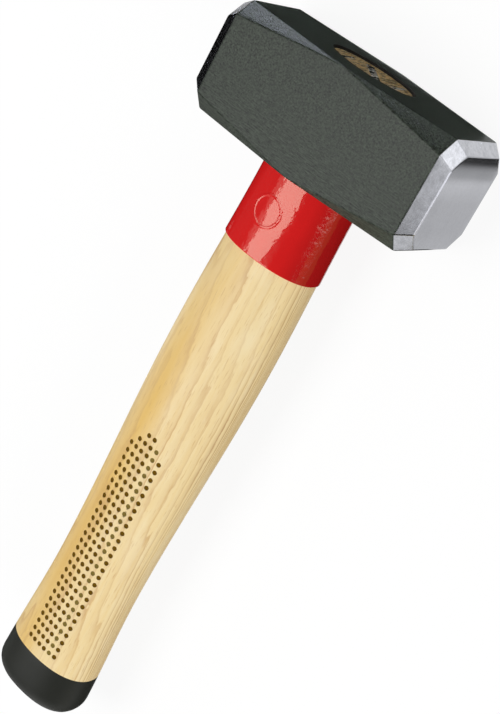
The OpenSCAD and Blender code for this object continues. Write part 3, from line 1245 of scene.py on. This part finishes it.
    def lamp(self, name, power, size, turn, tilt):
        """A soft lamp on the dome that shines at the hammer, its short side along the turn."""
        data = bpy.data.lights.new(name, "AREA")
        data.shape = "RECTANGLE"
        data.size, data.size_y = size
        data.energy = power
        lamp = show(name, data)
        lamp.location = self.on_dome(turn, tilt, self.LAMP_DISTANCE)
        lamp.visible_glossy = name == self.MIRRORED_LAMP
        back = (lamp.location - self.DOME_CENTRE).normalized()
        right = Vector((0, 1, 0)).cross(back).normalized()
        lamp.rotation_euler = Matrix((right, back.cross(right), back)).transposed().to_euler()

    def dome_card(self, name, turns, tilts, glow):
        """A curved card on the dome, a little nearer than the lamps."""
        wide = self.CARD_STEPS + 1
        points = [self.on_dome(turn, tilt, self.CARD_DISTANCE)
                  for tilt in np.linspace(*tilts, self.CARD_ROWS + 1)
                  for turn in np.linspace(*turns, wide)]
        corners = [j * wide + i for j in range(self.CARD_ROWS) for i in range(self.CARD_STEPS)]
        faces = [(c, c + 1, c + wide + 1, c + wide) for c in corners]
        self.card(name, points, faces, [glow] * len(points))

    def face_card(self):
        """The graded card beside the right striking face."""
        points = [(x, y + row, z) for row, _ in self.FACE_ROWS
                  for x, y, z in (self.FACE_FOOT, self.FACE_TOP)]
        glows = [(glow,) * 3 for _, glow in self.FACE_ROWS for _ in range(2)]
        faces = [(i, i + 1, i + 3, i + 2) for i in range(0, len(points) - 2, 2)]
        self.card("Face card", points, faces, glows)

    def card(self, name, points, faces, glows):
        """A card that only mirrored rays see, with the colour it glows in at each point."""
        card = show_faces(name, points, faces)
        layer = card.data.color_attributes.new("glow", "FLOAT_COLOR", "POINT")
        for item, glow in zip(layer.data, glows):
            item.color = (*glow, 1.0)
        nodes = stage_nodes(card, name)
        glow = nodes.node("ShaderNodeAttribute", attribute_name="glow")["Color"]
        light = nodes.node("ShaderNodeEmission", {"Color": glow})[0]
        nodes.put(light, nodes.tree.nodes["Material Output"].inputs[0])
        card.visible_camera = False
        card.visible_diffuse = False
        card.visible_transmission = False
        card.visible_shadow = False
        card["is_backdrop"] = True


class HAMMER_PT_panel(bpy.types.Panel):
    """The hammer's settings and the steps that build it"""
    bl_idname = "HAMMER_PT_panel"
    bl_label = "Club Hammer"
    bl_space_type = "VIEW_3D"
    bl_region_type = "UI"
    bl_category = "Club Hammer"

    def draw(self, context):
        settings = context.scene.club_hammer
        for part in HammerSettings.__annotations__:
            box = self.layout.box()
            box.label(text=part.capitalize())
            group = getattr(settings, part)
            for name in group.__annotations__:
                box.prop(group, name)
        for operator in OPERATORS:
            self.layout.operator(operator.bl_idname)


SETTINGS = (HeadSettings, HandleSettings, DotSettings, CollarSettings, WedgeSettings,
            DipSettings, StageSettings, HammerSettings)
OPERATORS = (HAMMER_OT_set_camera, HAMMER_OT_make_head, HAMMER_OT_make_handle,
             HAMMER_OT_make_collar, HAMMER_OT_make_wedges, HAMMER_OT_make_dip,
             HAMMER_OT_make_stage)


def register():
    """Makes the settings, the operators and the panel known to Blender."""
    for item in (*SETTINGS, *OPERATORS, HAMMER_PT_panel):
        bpy.utils.register_class(item)
    bpy.types.Scene.club_hammer = PointerProperty(type=HammerSettings)


def unregister():
    """Takes them away again."""
    del bpy.types.Scene.club_hammer
    for item in reversed((*SETTINGS, *OPERATORS, HAMMER_PT_panel)):
        bpy.utils.unregister_class(item)


# ---------------------------------------------------------------- image points

def shown_points():
    """Image places, model places and numbers of the finished vertices that show, by piece."""
    trees = [surface(piece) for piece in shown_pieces()]
    found = {}
    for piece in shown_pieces():
        seen = []
        for vert in piece.data.vertices:
            ray = vert.co - CAMERA_PLACE
            far = ray.length - HIDDEN
            ray.normalize()
            if all(tree.ray_cast(CAMERA_PLACE, ray, far)[0] is None for tree in trees):
                seen.append(vert.index)
        if seen:
            places = np.array([piece.data.vertices[i].co for i in seen])
            found[piece.name] = (project(places), places, seen)
    return found


def middle(points):
    """The middle of the box around some points."""
    return (points.min(0) + points.max(0)) / 2


def write_points():
    """Finds where each named thing shows in the image."""
    found = shown_points()
    everything = np.concatenate([found[name][0] for name in found])
    head = found["hammer_head"][0]
    collar_image, collar_place, _ = found["collar_sleeve_red"]
    dip = found["butt_dip"][0]
    handle_image, handle_place, handle_numbers = found["hickory_handle"]
    tenon = handle_image[handle_place[:, 1] > HEAD_FOOT]
    # Each of these is the point that lies furthest one way
    ends = {
        "object_left": (everything, (-1, 0)),
        "object_right": (everything, (1, 0)),
        "object_top": (everything, (0, -1)),
        "object_bottom": (everything, (0, 1)),
        "head_left": (head, (-1, 0)),
        "head_bottom": (head, (0, 1)),
        "collar_end_left": (collar_image, (-1, 0)),
        "collar_end_right": (collar_image, (0, 1)),
        "dip_edge_left": (dip, (0, -1)),
        "dip_edge_right": (dip, (1, 0)),
        "eye_left": (tenon, (-1, -1)),
        "eye_right": (tenon, (1, 1)),
    }
    shown = {name: points[np.argmax(points @ np.array(way))]
             for name, (points, way) in ends.items()}
    for name in ("side_corner_upper", "side_corner_lower", "side_corner_far"):
        away = np.hypot(*(head - np.array(IMAGE_POINTS[name])).T)
        shown[name] = head[np.argmin(away)]
    # A dot by its burnt vertices, the ring by its raised ones
    settings = bpy.context.scene.club_hammer
    handle = bpy.data.objects["hickory_handle"]
    burnt = {i for face in handle.data.polygons
             if handle.data.materials[face.material_index].name.endswith("burnt wood")
             for i in face.vertices}
    is_burnt = np.array([i in burnt for i in handle_numbers])
    skin = surface(handle)
    dot_reach = 0.65 * settings.dots.diameter
    for name in IMAGE_POINTS:
        if name.startswith("dots_"):
            away = np.linalg.norm(handle_place - np.array(place(name, skin)), axis=1)
            shown[name] = middle(handle_image[is_burnt & (away < dot_reach)])
    centre = np.array(place("collar_ring", surface(bpy.data.objects["collar_sleeve_red"])))
    off = np.linalg.norm((collar_place - centre)[:, :2], axis=1) - settings.collar.ring_radius
    shown["collar_ring"] = middle(collar_image[np.abs(off) < settings.collar.ring_width / 4])


def main():
    """Builds the dressed hammer and its stage."""
    register()
    build = bpy.ops.club_hammer
    build.set_camera()
    build.make_head()
    build.make_handle()
    build.make_collar()
    build.make_wedges()
    build.make_dip()
    build.make_stage()
    write_points()


if __name__ == "__main__":
    main()
